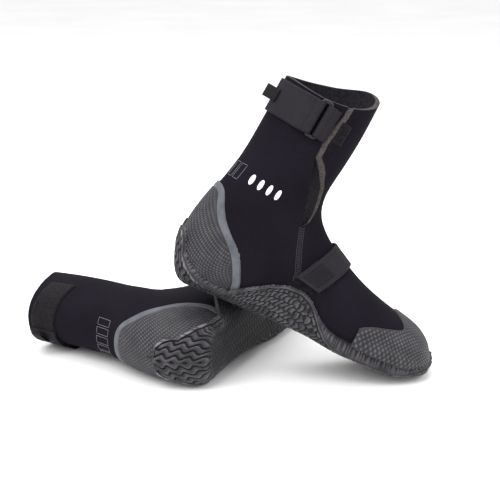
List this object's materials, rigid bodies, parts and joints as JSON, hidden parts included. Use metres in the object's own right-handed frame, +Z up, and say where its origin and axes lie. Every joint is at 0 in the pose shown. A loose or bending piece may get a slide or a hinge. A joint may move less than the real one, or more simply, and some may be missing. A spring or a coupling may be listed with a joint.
{
  "type": "neoprene boots",
  "caption": "Pair of ankle-high neoprene water boots with moulded rubber soles, toe and heel caps, cuff straps through rings and instep straps; one lies, one leans on it.",
  "frame": {"origin": "centre of the pair's outline on the ground they rest on", "axes": "+Z up from the ground; +X the pair's longest extent, the way the leaning right boot's toe points; +Y away from the right boot's outer side, across the lying left boot"},
  "size_m": [0.4441, 0.2693, 0.3184],
  "materials": {
    "neoprene": "knit-faced foam, matt",
    "gusset": "thin stretch fabric",
    "rubber": "satin moulded",
    "cap_rubber": "diamond-textured",
    "trim": "smooth matt grey",
    "foam": "closed-cell foam",
    "insole": "felted",
    "webbing": "woven",
    "loop": "velvety loop",
    "hook": "fine hooks",
    "ring_plastic": "glossy"
  },
  "bodies": {
    "left_foot": {"left_outsole": "rubber", "left_midsole": "foam", "left_insole": "insole", "left_quarter_panel": "neoprene", "left_vamp_panel": "neoprene", "left_heel_cap": "cap_rubber", "left_heel_trim": "trim", "left_toe_cap": "cap_rubber", "left_instep_strap_base": "webbing", "left_instep_loop_patch": "loop"},
    "left_shaft": {"left_shaft_rear_panel": "neoprene", "left_shaft_front_panel": "neoprene", "left_slit_gusset": "gusset", "left_cuff_strap_sewn_end": "webbing", "left_cuff_loop_pad": "loop", "left_ring_webbing": "webbing", "left_flap_patch": "webbing", "left_cuff_ring": "ring_plastic"},
    "left_cuff_strap": {"left_cuff_strap": "webbing", "left_cuff_hook_pad": "hook", "left_cuff_pull_tab": "webbing"},
    "left_instep_strap": {"left_instep_strap": "webbing", "left_instep_hook_patch": "hook"},
    "right_foot": {"right_outsole": "rubber", "right_midsole": "foam", "right_insole": "insole", "right_quarter_panel": "neoprene", "right_vamp_panel": "neoprene", "right_heel_cap": "cap_rubber", "right_heel_trim": "trim", "right_toe_cap": "cap_rubber", "right_instep_strap_base": "webbing", "right_instep_loop_patch": "loop"},
    "right_shaft": {"right_shaft_rear_panel": "neoprene", "right_shaft_front_panel": "neoprene", "right_slit_gusset": "gusset", "right_cuff_strap_sewn_end": "webbing", "right_cuff_loop_pad": "loop", "right_ring_webbing": "webbing", "right_flap_patch": "webbing", "right_cuff_ring": "ring_plastic"},
    "right_cuff_strap": {"right_cuff_strap": "webbing", "right_cuff_hook_pad": "hook", "right_cuff_pull_tab": "webbing"},
    "right_instep_strap": {"right_instep_strap": "webbing", "right_instep_hook_patch": "hook"}
  },
  "joints": [
    {"name": "left_ankle_bend", "type": "hinge", "parent": "left_foot", "child": "left_shaft", "pos_m": [-0.09462, -0.02737, 0.04318], "axis": [0.0222, 0.0929, -0.9954], "range_deg": [-10, 12], "stiffness_Nm_per_rad": 6},
    {"name": "left_cuff_strap_peel", "type": "hinge", "parent": "left_shaft", "child": "left_cuff_strap", "pos_m": [-0.18021, 0.01886, 0.0024], "axis": [0.8443, -0.535, -0.0312], "range_deg": [0, 110]},
    {"name": "left_instep_strap_peel", "type": "hinge", "parent": "left_foot", "child": "left_instep_strap", "pos_m": [-0.03378, 0.0438, 0.05098], "axis": [0.8696, 0.4895, 0.0651], "range_deg": [0, 75]},
    {"name": "right_ankle_bend", "type": "hinge", "parent": "right_foot", "child": "right_shaft", "pos_m": [0.05134, -0.06046, 0.18992], "axis": [-0.0544, 0.9937, -0.098], "range_deg": [-10, 12], "stiffness_Nm_per_rad": 6},
    {"name": "right_cuff_strap_peel", "type": "hinge", "parent": "right_shaft", "child": "right_cuff_strap", "pos_m": [0.09207, -0.09244, 0.28181], "axis": [0.4978, 0.1121, 0.86], "range_deg": [0, 110]},
    {"name": "right_instep_strap_peel", "type": "hinge", "parent": "right_foot", "child": "right_instep_strap", "pos_m": [0.1254, -0.06231, 0.13212], "axis": [-0.5298, 0.0545, 0.8463], "range_deg": [0, 75]},
    {"name": "right_boot_lift", "type": "slide", "parent": "left_foot", "child": "right_foot", "axis": [0, 0, 1], "range_m": [0, 0.25]}
  ]
}
